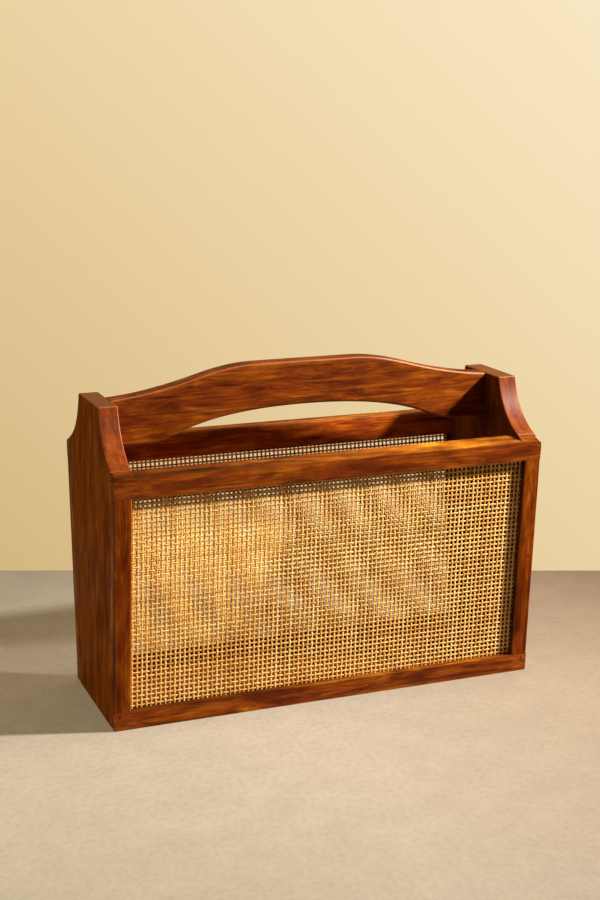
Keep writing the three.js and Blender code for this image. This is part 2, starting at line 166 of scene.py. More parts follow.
panel_low, panel_high = (Vector(corner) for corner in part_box("right_end_panel"))
handle_low, handle_high = (Vector(corner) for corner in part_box("handle"))
HALF_LENGTH = panel_high.x
INNER_HALF = panel_low.x
PANEL_HEIGHT = panel_high.z
CROWN_HEIGHT = handle_high.z
LEAN = math.atan((SHOULDER_DEPTH - BASE_DEPTH) / 2 / FRAME_HEIGHT)
FRAME_SLOPE = FRAME_HEIGHT / math.cos(LEAN)
OPENING_HALF = HALF_LENGTH - STILE_WIDTH
OPENING_TOP = FRAME_SLOPE - TOP_RAIL_WIDTH
FOOT = -FRAME_THICKNESS * math.tan(LEAN)

# Front and rear frames stand in their own axes: x along, y into the basket, z up the slope.
FRONT = Matrix.Translation((0, -BASE_DEPTH / 2, 0)) @ Matrix.Rotation(LEAN, 4, "X")
FRAMES = {"front": FRONT, "rear": Matrix.Rotation(math.pi, 4, "Z") @ FRONT}


# Finishes of the wood, cane and metal
def new_material(name):
    material = bpy.data.materials.new(name)
    material.use_nodes = True
    material.node_tree.nodes.clear()
    return material


def add(tree, kind, **settings):
    """A node of a kind, with its properties and its unlinked inputs set."""
    node = tree.nodes.new(kind)
    for key, value in settings.items():
        if key.startswith("in_"):
            node.inputs[key[3:].replace("_", " ")].default_value = value
        else:
            setattr(node, key, value)
    return node


def ramp(tree, stops):
    """A colour ramp with its stops given as position and grey value or colour."""
    node = add(tree, "ShaderNodeValToRGB")
    elements = node.color_ramp.elements
    while len(elements) < len(stops):
        elements.new(0.5)
    for element, (place, value) in zip(elements, stops):
        element.position = place
        colour = value if isinstance(value, tuple) else (value,) * 3
        element.color = (*colour, 1)
    return node


def mix_colours(tree, mode, share, first, second):
    """Mixed colour of two sockets, by a share that is a number or a socket."""
    node = add(tree, "ShaderNodeMix", data_type="RGBA", blend_type=mode, clamp_result=True)
    if isinstance(share, (int, float)):
        node.inputs[0].default_value = share
    else:
        tree.links.new(share, node.inputs[0])
    for socket, value in ((node.inputs[6], first), (node.inputs[7], second)):
        if isinstance(value, tuple):
            socket.default_value = (*value, 1)
        else:
            tree.links.new(value, socket)
    return node.outputs[2]


def scaled(tree, vector, scale, turn=(0, 0, 0), move=(0, 0, 0)):
    """Coordinates moved, turned and scaled for one layer of a pattern."""
    node = add(tree, "ShaderNodeMapping", vector_type="POINT")
    node.inputs["Scale"].default_value = scale
    node.inputs["Rotation"].default_value = turn
    node.inputs["Location"].default_value = move
    tree.links.new(vector, node.inputs["Vector"])
    return node.outputs[0]


def noise(tree, vector, scale, detail=3, roughness=0.55, distortion=0):
    node = add(
        tree,
        "ShaderNodeTexNoise",
        in_Scale=scale,
        in_Detail=detail,
        in_Roughness=roughness,
        in_Distortion=distortion,
    )
    tree.links.new(vector, node.inputs["Vector"])
    return node.outputs["Fac"]


def through(tree, value, stops):
    """A value passed through a ramp."""
    node = ramp(tree, stops)
    tree.links.new(value, node.inputs[0])
    return node.outputs[0]


def axes_of(tree, vector):
    """The X, Y and Z of a vector socket."""
    node = add(tree, "ShaderNodeSeparateXYZ")
    tree.links.new(vector, node.inputs[0])
    return node.outputs


def own_place(tree, kind="Object"):
    """Coordinates of the piece itself, or the way its faces look."""
    return add(tree, "ShaderNodeTexCoord").outputs[kind]


def surface(tree, base, roughness, height, bump, **settings):
    """The shader of a finish, with its bump, put out to the surface."""
    shader = add(tree, "ShaderNodeBsdfPrincipled")
    for key, value in settings.items():
        shader.inputs[key.replace("_", " ")].default_value = value
    relief = add(tree, "ShaderNodeBump", in_Strength=bump[0], in_Distance=bump[1])
    output = add(tree, "ShaderNodeOutputMaterial")
    tree.links.new(base, shader.inputs["Base Color"])
    tree.links.new(roughness, shader.inputs["Roughness"])
    tree.links.new(height, relief.inputs["Height"])
    tree.links.new(relief.outputs[0], shader.inputs["Normal"])
    tree.links.new(shader.outputs[0], output.inputs[0])
    return shader


def grain_vector(tree, along, tilt, offset):
    """Object coordinates with the grain along their X, each board from its own part of the log."""
    level = scaled(tree, own_place(tree), (1, 1, 1), turn=(tilt, 0, 0))
    turn = (0, math.pi / 2, 0) if along == "z" else (0, 0, 0)
    return scaled(tree, level, (1, 1, 1), turn=turn, move=offset)


def wood_layers(tree, grain):
    """The layers of the wood: figure, streaks, patches, fibres and pores."""
    def layer(stretch, **settings):
        return noise(tree, scaled(tree, grain, stretch), 1.0, **settings)

    return (
        layer(FIGURE_STRETCH, detail=6, roughness=0.72, distortion=0.7),
        layer(STREAK_STRETCH, detail=4, roughness=0.6, distortion=0.2),
        layer(PATCH_STRETCH, detail=3, distortion=0.9),
        layer(FIBRE_STRETCH, detail=3),
        layer(PORE_STRETCH, detail=1),
    )


def with_painted_top_light(tree, toned, upward):
    """The wood with painted light on its upward faces along the basket: painted shade, a painted
    golden highlight and a painted shadow.
    """
    place = axes_of(tree, own_place(tree))
    along_top = sums(tree, "MULTIPLY_ADD", place["X"], TOP_PAINTED_LIGHT_SLOPE, TOP_PAINTED_LIGHT_START)
    top_painted_tone = through(tree, along_top, TOP_PAINTED_LIGHT_TONES)
    painted_highlight_top = mix_colours(tree, "MULTIPLY", 1.0, toned, TOP_PAINTED_HIGHLIGHT)
    highlight_share = through(tree, along_top, TOP_PAINTED_HIGHLIGHT_PLACES)
    painted_highlight_top = mix_colours(tree, "MIX", highlight_share, toned, painted_highlight_top)
    painted_highlight_top = mix_colours(tree, "MULTIPLY", 1.0, painted_highlight_top, top_painted_tone)
    return mix_colours(tree, "MIX", upward, toned, painted_highlight_top)


def varnished_wood(
    name,
    along,
    seed,
    tilt=0.0,
    shade=1.0,
    contrast=1.0,
    shine=0.13,
    sheen=0.14,
    edge=0.9,
    top_painted_light_and_matt=False,
    painted_flank_light=WHITE,
):
    """Reddish brown hardwood under gloss varnish, with dark mottle along its grain; its flank faces
    take a given tint of painted light and shade, and its tops take painted light when asked.
    """
    material = new_material(name)
    tree = material.node_tree
    spread = random.Random(seed)
    offset = tuple(spread.uniform(-3, 3) for _ in range(3))
    grain = grain_vector(tree, along, tilt, offset)
    figure, streaks, patches, fibres, pores = wood_layers(tree, grain)

    body = through(tree, figure, [(0.5 + place / contrast, tone) for place, tone in WOOD_BODY])
    lines = through(tree, streaks, ((0.36, 0.30), (0.50, 1.0)))
    toned = mix_colours(tree, "MULTIPLY", 0.6 * contrast, body, lines)
    clouds = through(tree, patches, ((0.36, CLOUD_TONE), (0.58, WHITE)))
    toned = mix_colours(tree, "MULTIPLY", 0.8 * contrast, toned, clouds)
    threads = through(tree, fibres, ((0.32, 0.62), (0.58, 1.0)))
    toned = mix_colours(tree, "MULTIPLY", 0.6, toned, threads)
    pits = through(tree, pores, ((0.30, 0.35), (0.37, 1.0)))
    toned = mix_colours(tree, "MULTIPLY", 0.5, toned, pits)
    toned = mix_colours(tree, "MULTIPLY", 1.0, toned, (shade, shade * 0.96, shade * 0.92))
    if along == "z" or top_painted_light_and_matt:
        facing = axes_of(tree, own_place(tree, "Normal"))
    if along == "z":
        end_grain = through(tree, facing["Z"], ((0.90, 0.0), (0.98, 0.75)))
        toned = mix_colours(tree, "MIX", end_grain, toned, END_GRAIN_TONE)
        # Painted light on the flank faces of the left boards and stiles, painted shade on those of
        # the right ones
        sideways = sums(tree, "ABSOLUTE", facing["X"])
        outer = through(tree, sideways, ((0.93, 0.0), (0.99, 1.0)))
        toned = mix_colours(tree, "MULTIPLY", outer, toned, painted_flank_light)
    # Painted light on the tops of rails and battens: painted shade, a painted golden highlight and
    # a painted shadow along the basket
    if top_painted_light_and_matt:
        upward = through(tree, facing["Z"], ((0.80, 0.0), (0.95, 1.0)))
        toned = with_painted_top_light(tree, toned, upward)

    edge_wear_and_highlight = add(tree, "ShaderNodeAttribute", attribute_name="edge_wear_and_highlight").outputs["Fac"]
    # Lighter colour on the rounded edges: partly wear of the varnish, partly a painted highlight
    worn_and_highlight = through(tree, edge_wear_and_highlight, ((0.1, 0.0), (0.8, 0.3)))
    toned = mix_colours(tree, "MIX", worn_and_highlight, toned, WORN_AND_HIGHLIGHT_TONE)
    polish = through(tree, edge_wear_and_highlight, ((0.0, sheen), (0.6, edge)))
    gloss = through(tree, figure, ((0.35, 0.42), (0.65, 0.32)))
    if along == "z":
        polish = mix_colours(tree, "MULTIPLY", outer, polish, (0.0, 0.0, 0.0))
    # The same tops with painted light also get less coat and a rougher varnish
    if top_painted_light_and_matt:
        polish = mix_colours(tree, "MULTIPLY", upward, polish, HANDLED_POLISH)
        gloss = mix_colours(tree, "MIX", upward, gloss, HANDLED_ROUGHNESS)

    height = mix_colours(tree, "MULTIPLY", 0.6, threads, pits)
    waves = noise(tree, scaled(tree, grain, WAVE_STRETCH), 1.0, detail=2)
    height = mix_colours(tree, "MIX", 0.45, height, waves)
    shader = surface(
        tree,
        toned,
        gloss,
        height,
        WOOD_RELIEF,
        Coat_Roughness=VARNISH_ROUGHNESS,
        Specular_IOR_Level=shine,
        Specular_Tint=VARNISH_TINT,
    )
    tree.links.new(polish, shader.inputs["Coat Weight"])
    return material


def split_cane():
    """Glossy straw-coloured cane, each strand with its own tone and fine lines along it."""
    material = new_material("split_cane")
    tree = material.node_tree
    tone = add(tree, "ShaderNodeAttribute", attribute_name="tone").outputs["Fac"]
    coordinates = own_place(tree)
    blotches = noise(tree, scaled(tree, coordinates, (55, 55, 55)), 1.0, detail=3)
    specks = noise(tree, scaled(tree, coordinates, (900, 900, 900)), 1.0, detail=2)
    colour = through(tree, tone, CANE_TONES)
    warm = through(tree, blotches, ((0.35, CANE_BLOTCH_TONE), (0.62, WHITE)))
    colour = mix_colours(tree, "MULTIPLY", 0.7, colour, warm)
    dots = through(tree, specks, ((0.3, 0.7), (0.5, 1.0)))
    colour = mix_colours(tree, "MULTIPLY", 0.5, colour, dots)
    gloss = through(tree, blotches, ((0.3, 0.42), (0.7, 0.30)))
    surface(
        tree,
        colour,
        gloss,
        dots,
        (0.25, 0.0002),
        Coat_Weight=0.12,
        Coat_Roughness=0.25,
        Specular_IOR_Level=0.4,
        Specular_Tint=CANE_TINT,
    )
    return material


def plain_wood(name, dark, light, roughness, shine=0.4):
    """Bare fine-grained wood of the dowels, reeds and fillings."""
    material = new_material(name)
    tree = material.node_tree
    grain = noise(tree, scaled(tree, own_place(tree), (420, 700, 420)), 1.0, detail=3)
    colour = through(tree, grain, ((0.3, dark), (0.7, light)))
    dull = through(tree, grain, ((0.3, roughness), (0.7, roughness * 0.8)))
    surface(tree, colour, dull, grain, (0.3, 0.0002), Specular_IOR_Level=shine)
    return material


def brushed_steel():
    """Drawn steel of the nails."""
    material = new_material("wire_steel")
    tree = material.node_tree
    drawn = noise(tree, scaled(tree, own_place(tree), (2500, 120, 2500)), 1.0, detail=2)
    colour = through(tree, drawn, ((0.3, (0.30, 0.30, 0.30)), (0.7, (0.55, 0.54, 0.52))))
    dull = through(tree, drawn, ((0.3, 0.5), (0.7, 0.32)))
    surface(tree, colour, dull, drawn, (0.2, 0.0001), Metallic=1.0)
    return material


# Boards, rails and the handle
def link_object(name, mesh):
    piece = bpy.data.objects.new(name, mesh)
    bpy.context.scene.collection.objects.link(piece)
    return piece


def baked(piece):
    """The piece with its modifiers made into its mesh."""
    graph = bpy.context.evaluated_depsgraph_get()
    graph.update()
    mesh = bpy.data.meshes.new_from_object(piece.evaluated_get(graph))
    piece.modifiers.clear()
    old = piece.data
    piece.data = mesh
    mesh.name = piece.name
    bpy.data.meshes.remove(old)
    return piece


def worked_board(name, mesh, softness, place=Matrix.Identity(4), rounding=EDGE_ROUND):
    """Rounds a sharp-edged board. softness gives each edge's share of the full rounding."""
    bmesh.ops.remove_doubles(mesh, verts=mesh.verts, dist=MERGE_DISTANCE)
    bmesh.ops.recalc_face_normals(mesh, faces=mesh.faces)
    sharp = BVHTree.FromBMesh(mesh)
    weight = mesh.edges.layers.float.new("bevel_weight_edge")
    for edge in mesh.edges:
        if edge.calc_face_angle(0) > SHARP_ANGLE:
            edge[weight] = softness((edge.verts[0].co + edge.verts[1].co) / 2)
    data = bpy.data.meshes.new(name)
    mesh.to_mesh(data)
    mesh.free()
    data.shade_smooth()
    piece = link_object(name, data)
    bevel = piece.modifiers.new("Rounded edges", "BEVEL")
    bevel.limit_method = "WEIGHT"
    bevel.width = rounding
    bevel.segments = EDGE_SEGMENTS
    bevel.harden_normals = True
    baked(piece)
    # Mask of the rounded edges, for their wear and their painted highlight
    edge_wear_and_highlight = piece.data.attributes.new("edge_wear_and_highlight", "FLOAT", "POINT")
    for vertex, value in zip(piece.data.vertices, edge_wear_and_highlight.data):
        distance = sharp.find_nearest(vertex.co)[3]
        value.value = min(distance / (rounding * 0.3), 1.0)
    piece.data.transform(place)
    return piece


def extruded(outline, depth, axis):
    """A prism of an outline drawn in the plane across an axis, centred on zero depth."""
    mesh = bmesh.new()
    rows = []
    for side in (-depth / 2, depth / 2):
        if axis == "x":
            rows.append([mesh.verts.new((side, across, up)) for across, up in outline])
        else:
            rows.append([mesh.verts.new((across, side, up)) for across, up in outline])
    mesh.faces.new(rows[0])
    mesh.faces.new(rows[1])
    for index in range(len(outline)):
        following = (index + 1) % len(outline)
        corners = (rows[0][index], rows[0][following], rows[1][following], rows[1][index])
        mesh.faces.new(corners)
    return mesh


def half_depth(height, setback):
    return BASE_DEPTH / 2 + height * math.tan(LEAN) - setback / math.cos(LEAN)


def hollow_arc(start, end, radius, steps):
    """Points after the start, along the arc whose centre lies outside the board."""
    chord = end - start
    rise = math.sqrt(radius**2 - (chord.length / 2) ** 2)
    side = Vector((chord.y, -chord.x)).normalized()
    centre = (start + end) / 2 + side * rise
    first = start - centre
    turn = first.angle_signed(end - centre)
    points = []
    for step in range(1, steps + 1):
        angle = -turn * step / steps
        spoke = Vector(
            (
                first.x * math.cos(angle) - first.y * math.sin(angle),
                first.x * math.sin(angle) + first.y * math.cos(angle),
            )
        )
        points.append(centre + spoke)
    return points


def end_board_outline():
    """Half outline from the foot up the leaning edge and the cove to the neck, then mirrored."""
    shoulder_height = (
        FRAME_HEIGHT
        + FRAME_THICKNESS * math.sin(LEAN)
        + SHOULDER_RISE * math.cos(LEAN)
    )
    setback = FRAME_THICKNESS + JOINT_GAP
    shoulder = Vector((half_depth(shoulder_height, setback), shoulder_height))
    neck = Vector((NECK_WIDTH / 2, PANEL_HEIGHT))
    half = [Vector((half_depth(0, setback), 0)), shoulder]
    half += hollow_arc(shoulder, neck, COVE_RADIUS, CURVE_STEPS)
    return half + [Vector((-point.x, point.y)) for point in reversed(half)]


def end_board(side):
    """End board with its cut edges eased, except where the frames cover them."""
    outline = end_board_outline()
    thickness = HALF_LENGTH - INNER_HALF
    middle = side * (HALF_LENGTH - thickness / 2)
    slope_length = outline[1].y

    def softness(point):
        on_leaning_edge = point.z < slope_length * 0.999 and abs(point.x) < thickness
        close = abs(abs(point.y) - half_depth(point.z, FRAME_THICKNESS)) < JOINT_GAP * 4
        return JOINT_ROUND / EDGE_ROUND if on_leaning_edge and close else 1.0

    mesh = extruded(outline, thickness, "x")
    name = ("left" if side < 0 else "right") + "_end_board"
    return worked_board(name, mesh, softness, Matrix.Translation((middle, 0, 0)))


def tangent_meet(first, first_slope, second, second_slope):
    run = second.y - first.y - second_slope * (second.x - first.x)
    across = run / (first_slope - second_slope)
    return Vector((first.x + across, first.y + first_slope * across))


def bend_through(start, control, end, steps):
    """Points after the start along a curve pulled towards its control point."""
    points = []
    for step in range(1, steps + 1):
        t = step / steps
        points.append(start * (1 - t) ** 2 + control * (2 * t * (1 - t)) + end * t**2)
    return points


def handle_outline():
    """Right half of the handle, from the crown down its S to the end and back along the arch."""
    half = INNER_HALF - JOINT_GAP
    rise = CROWN_HEIGHT - PANEL_HEIGHT
    crown = Vector((CROWN_FLAT_SHARE * half, CROWN_HEIGHT))
    bend = Vector((TOP_BEND_REACH_SHARE * half, PANEL_HEIGHT + TOP_BEND_RISE_SHARE * rise))
    end = Vector((half, PANEL_HEIGHT))
    slope = rise / (end.x - crown.x)
    upper = tangent_meet(crown, 0, bend, -TOP_BEND_SLOPE_SHARE * slope)
    lower = tangent_meet(
        bend, -TOP_BEND_SLOPE_SHARE * slope, end, -TOP_END_SLOPE_SHARE * slope
    )
    points = [crown]
    points += bend_through(crown, upper, bend, CURVE_STEPS)
    points += bend_through(bend, lower, end, CURVE_STEPS)

    arch = Vector((0, CROWN_HEIGHT - CROWN_DEPTH))
    foot = Vector((ARCH_REACH_SHARE * half, handle_low.z))
    arch_rise = arch.y - foot.y
    turn = Vector((ARCH_BEND_REACH_SHARE * half, foot.y + ARCH_BEND_RISE_SHARE * arch_rise))
    arch_slope = ARCH_BEND_SLOPE_SHARE * arch_rise / foot.x
    high = tangent_meet(arch, 0, turn, -arch_slope)
    low = tangent_meet(turn, -arch_slope, foot, 0)
    points += [Vector((half, foot.y)), foot]
    points += bend_through(foot, low, turn, CURVE_STEPS)
    points += bend_through(turn, high, arch, CURVE_STEPS)
    return points + [Vector((-point.x, point.y)) for point in reversed(points[:-1])]


def handle_plank():
    """Handle with full rounding all along and crisp ends against the end boards."""
    thickness = handle_high.y - handle_low.y
    mesh = extruded(handle_outline(), thickness, "y")

    def softness(point):
        at_end = abs(point.x) > INNER_HALF - JOINT_GAP * 3
        return JOINT_ROUND / HANDLE_ROUND if at_end else 1.0

    return worked_board("handle_plank", mesh, softness, rounding=HANDLE_ROUND)


def rail_mesh(stations):
    """A rail lofted along x. A station is x, its front foot, rear foot and row of top heights."""
    mesh = bmesh.new()
    rings = []
    for x, front_low, rear_low, tops in stations:
        corners = [(x, 0, front_low), (x, FRAME_THICKNESS, rear_low)]
        for index in range(len(tops) - 1, -1, -1):
            corners.append((x, FRAME_THICKNESS * index / (len(tops) - 1), tops[index]))
        rings.append([mesh.verts.new(corner) for corner in corners])
    for ring, following in zip(rings, rings[1:]):
        for index in range(len(ring)):
            after = (index + 1) % len(ring)
            mesh.faces.new((ring[index], ring[after], following[after], following[index]))
    mesh.faces.new(rings[0])
    mesh.faces.new(rings[-1])
    bmesh.ops.remove_doubles(mesh, verts=mesh.verts, dist=MERGE_DISTANCE)
    bmesh.ops.dissolve_degenerate(mesh, edges=mesh.edges, dist=MERGE_DISTANCE)
    return mesh


def corner_places():
    """Distances along the frame's rounded corner and how far it has dropped there."""
    places = []
    for step in range(7):
        angle = math.pi / 2 * step / 6
        along = FRAME_CORNER_RADIUS * math.sin(angle)
        drop = FRAME_CORNER_RADIUS * (1 - math.cos(angle))
        places.append((HALF_LENGTH - FRAME_CORNER_RADIUS + along, drop))
    return places


def top_rail():
    """Top rail whose ends rise towards the back in a hollow and carry on the coves."""
    low = OPENING_TOP + JOINT_GAP / 2
    half = [(x, drop, 1) for x, drop in reversed(corner_places())]
    half += [(OPENING_HALF, 0, 1), (INNER_HALF, 0, 1), (INNER_HALF, 0, 0)]
    stations = []
    for side, row in ((-1, half), (1, list(reversed(half)))):
        for x, drop, raised in row:
            shares = [index / RISE_STEPS for index in range(RISE_STEPS + 1)]
            rises = [raised * SHOULDER_RISE * share**RISE_POWER for share in shares]
            stations.append((side * x, low, low, [FRAME_SLOPE - drop + rise for rise in rises]))
    return rail_mesh(stations)


def bottom_rail():
    """Bottom rail, cut level where the leaning frame meets the floor."""
    high = BOTTOM_RAIL_WIDTH - JOINT_GAP / 2
    half = [(x, drop) for x, drop in reversed(corner_places())] + [(OPENING_HALF, 0)]
    stations = []
    for side, row in ((-1, half), (1, list(reversed(half)))):
        for x, drop in row:
            foot = FOOT + drop
            stations.append((side * x, max(foot, 0), foot, [high, high]))
    return rail_mesh(stations)


def stile():
    """Stile between the rails, on the right-hand side."""
    low = BOTTOM_RAIL_WIDTH + JOINT_GAP / 2
    high = OPENING_TOP - JOINT_GAP / 2
    return rail_mesh([(x, low, low, [high, high]) for x in (OPENING_HALF, HALF_LENGTH)])


def frame_softness(point):
    """Outer and opening edges are rounded; the joints and the back stay crisp."""
    level = any(abs(point.z - height) < JOINT_GAP for height in (BOTTOM_RAIL_WIDTH, OPENING_TOP))
    at_rail_joint = level and abs(point.x) > OPENING_HALF + EDGE_ROUND / 3
    at_stile_joint = level and OPENING_HALF < abs(point.x) < HALF_LENGTH
    at_back = point.y > FRAME_THICKNESS * 0.9
    at_rise = abs(abs(point.x) - INNER_HALF) < JOINT_GAP and point.z > OPENING_TOP
    if at_rail_joint or at_stile_joint or at_back or at_rise:
        return JOINT_ROUND / EDGE_ROUND
    return 1.0


def batten():
    """Batten behind the top rail, flush with its top, eased on the inner edges."""
    near = FRAME_THICKNESS + JOINT_GAP
    far = near + BATTEN_THICKNESS
    outline = [
        (near, FRAME_SLOPE - BATTEN_WIDTH),
        (far, FRAME_SLOPE - BATTEN_WIDTH),
        (far, FRAME_SLOPE),
        (near, FRAME_SLOPE),
    ]
    return extruded(outline, 2 * (INNER_HALF - JOINT_GAP), "x")


def batten_softness(point):
    at_inner_edge = point.y > FRAME_THICKNESS + BATTEN_THICKNESS * 0.9
    at_end = abs(point.x) > INNER_HALF - JOINT_GAP * 3
    return 1.0 if at_inner_edge and not at_end else JOINT_ROUND / EDGE_ROUND


# Woven cane
def group_tree(name, sizes):
    """A geometry tree with named float inputs, a seed and a material."""
    tree = bpy.data.node_groups.new(name, "GeometryNodeTree")
    tree.interface.new_socket("Geometry", in_out="INPUT", socket_type="NodeSocketGeometry")
    for size in sizes:
        tree.interface.new_socket(size, in_out="INPUT", socket_type="NodeSocketFloat")
    tree.interface.new_socket("Seed", in_out="INPUT", socket_type="NodeSocketInt")
    tree.interface.new_socket("Material", in_out="INPUT", socket_type="NodeSocketMaterial")
    tree.interface.new_socket("Geometry", in_out="OUTPUT", socket_type="NodeSocketGeometry")
    return tree


def join(tree, *pairs):
    for source, target in pairs:
        tree.links.new(source, target)


def sums(tree, operation, *values):
    """Result of an arithmetic step on numbers or sockets."""
    node = add(tree, "ShaderNodeMath", operation=operation)
    for socket, value in zip(node.inputs, values):
        if isinstance(value, (int, float)):
            socket.default_value = value
        else:
            tree.links.new(value, socket)
    return node.outputs[0]


def vector_of(tree, x=0.0, y=0.0, z=0.0):
    node = add(tree, "ShaderNodeCombineXYZ")
    for socket, value in zip(node.inputs, (x, y, z)):
        if isinstance(value, (int, float)):
            socket.default_value = value
        else:
            tree.links.new(value, socket)
    return node.outputs[0]


def strands_tree():
    """Strands along X that pass over and under the crossing ones, turn by turn."""
    tree = group_tree(
        "cane_strands",
        ("Span", "Pitch", "Tuck", "Crossing Pitch", "Strands", "Crossings", "Phase")
        + ("Width", "Thickness", "Lift", "Wander"),
    )
    given = add(tree, "NodeGroupInput").outputs
    reach = sums(tree, "ADD", sums(tree, "MULTIPLY", given["Span"], 0.5), given["Tuck"])
    steps = sums(tree, "ADD", sums(tree, "MULTIPLY", given["Crossings"], CANE_STEPS), 1)
    line = add(tree, "GeometryNodeCurvePrimitiveLine")
    resample = add(tree, "GeometryNodeResampleCurve")
    join(
        tree,
        (vector_of(tree, sums(tree, "MULTIPLY", reach, -1)), line.inputs["Start"]),
        (vector_of(tree, reach), line.inputs["End"]),
        (line.outputs[0], resample.inputs["Curve"]),
        (steps, resample.inputs["Count"]),
    )

    first = sums(tree, "MULTIPLY", sums(tree, "SUBTRACT", given["Strands"], 1), -0.5)
    lowest = vector_of(tree, 0.0, sums(tree, "MULTIPLY", first, given["Pitch"]))
    row = add(tree, "GeometryNodeMeshLine")
    spread = add(tree, "GeometryNodeInstanceOnPoints")
    real = add(tree, "GeometryNodeRealizeInstances")
    join(
        tree,
        (given["Strands"], row.inputs["Count"]),
        (lowest, row.inputs["Start Location"]),
        (vector_of(tree, 0.0, given["Pitch"]), row.inputs["Offset"]),
        (row.outputs[0], spread.inputs["Points"]),
        (resample.outputs[0], spread.inputs["Instance"]),
        (spread.outputs[0], real.inputs[0]),
    )

    strand = add(tree, "GeometryNodeCurveOfPoint").outputs["Curve Index"]
    place = axes_of(tree, add(tree, "GeometryNodeInputPosition").outputs[0])
    along = sums(tree, "ADD", place["X"], sums(tree, "MULTIPLY", given["Span"], 0.5))
    beat = sums(tree, "SUBTRACT", sums(tree, "DIVIDE", along, given["Crossing Pitch"]), 0.5)
    beat = sums(tree, "ADD", sums(tree, "ADD", beat, strand), given["Phase"])
    wave = sums(tree, "COSINE", sums(tree, "MULTIPLY", beat, math.pi))
    lift = sums(tree, "MULTIPLY", wave, given["Lift"])
    seeded = sums(tree, "ADD", sums(tree, "MULTIPLY", strand, 3.7), given["Seed"])
    drift = add(tree, "ShaderNodeTexNoise", in_Scale=24.0, in_Detail=1.0)
    tree.links.new(vector_of(tree, place["X"], seeded), drift.inputs["Vector"])
    centred = sums(tree, "SUBTRACT", drift.outputs["Fac"], 0.5)
    sway = sums(tree, "MULTIPLY", centred, given["Wander"])
    moved = add(tree, "GeometryNodeSetPosition")
    join(
        tree,
        (real.outputs[0], moved.inputs["Geometry"]),
        (vector_of(tree, 0.0, sums(tree, "MULTIPLY", sway, 2), lift), moved.inputs["Offset"]),
    )

    tone = add(tree, "FunctionNodeRandomValue", data_type="FLOAT")
    stored = add(tree, "GeometryNodeStoreNamedAttribute", data_type="FLOAT", domain="CURVE")
    stored.inputs["Name"].default_value = "tone"
    join(
        tree,
        (add(tree, "GeometryNodeInputIndex").outputs[0], tone.inputs["ID"]),
        (given["Seed"], tone.inputs["Seed"]),
        (moved.outputs[0], stored.inputs["Geometry"]),
        (tone.outputs[1], stored.inputs["Value"]),
    )

    ring = add(tree, "GeometryNodeCurvePrimitiveCircle", in_Resolution=CANE_SIDES, in_Radius=0.5)
    flat = add(tree, "GeometryNodeTransform")
    swept = add(tree, "GeometryNodeCurveToMesh")
    swept.inputs["Fill Caps"].default_value = True
    smooth = add(tree, "GeometryNodeSetShadeSmooth")
    finish = add(tree, "GeometryNodeSetMaterial")
    join(
        tree,
        (ring.outputs[0], flat.inputs["Geometry"]),
        (vector_of(tree, given["Width"], given["Thickness"], 1.0), flat.inputs["Scale"]),
        (stored.outputs[0], swept.inputs["Curve"]),
        (flat.outputs[0], swept.inputs["Profile Curve"]),
        (swept.outputs[0], smooth.inputs["Geometry"]),
        (smooth.outputs[0], finish.inputs["Geometry"]),
        (given["Material"], finish.inputs["Material"]),
    )
    last = add(tree, "GeometryNodeRealizeInstances")
    output = add(tree, "NodeGroupOutput")
    join(tree, (finish.outputs[0], last.inputs[0]), (last.outputs[0], output.inputs[0]))
    return tree


def grown(name, host, tree, values):
    """A plain mesh made by a geometry tree whose inputs have these values."""
    piece = link_object(name, host)
    modifier = piece.modifiers.new(tree.name, "NODES")
    modifier.node_group = tree
    for item in tree.interface.items_tree:
        if item.in_out == "INPUT" and item.name in values:
            modifier[item.identifier] = values[item.name]
    return baked(piece)


def cane_strands(name, tree, across, phase, seed, material):
    """All strands of one direction in a frame opening, flat in the XY plane."""
    width = 2 * OPENING_HALF
    height = OPENING_TOP - BOTTOM_RAIL_WIDTH
    spans = ((width, CANE_COLUMNS), (height, CANE_ROWS))
    (span, crossings), (spread, strands) = spans if across else reversed(spans)
    values = {
        "Span": span,
        "Pitch": spread / strands,
        "Tuck": CANE_TUCK,
        "Crossing Pitch": span / crossings,
        "Strands": float(strands),
        "Crossings": float(crossings),
        "Phase": phase,
        "Width": WEFT_WIDTH if across else WARP_WIDTH,
        "Thickness": CANE_THICKNESS,
        "Lift": CANE_LIFT,
        "Wander": CANE_WANDER,
        "Seed": seed,
        "Material": material,
    }
    return grown(name, bpy.data.meshes.new(name), tree, values)


def cane_sheet(position, tree, seed, material):
    """Woven cane of one frame: lying strands over and under upright ones."""
    middle = (BOTTOM_RAIL_WIDTH + OPENING_TOP) / 2
    stand = Matrix.Translation((0, CANE_SETBACK, middle)) @ Matrix.Rotation(math.pi / 2, 4, "X")
    lying = cane_strands(f"{position}_cane_weft", tree, True, 0.0, seed, material)
    upright = cane_strands(f"{position}_cane_warp", tree, False, 1.0, seed + 50, material)
    upright.data.transform(Matrix.Rotation(math.pi / 2, 4, "Z"))
    for piece in (lying, upright):
        piece.data.transform(FRAMES[position] @ stand)
        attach(piece, "root")
        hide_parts(f"{position}_cane_panel")


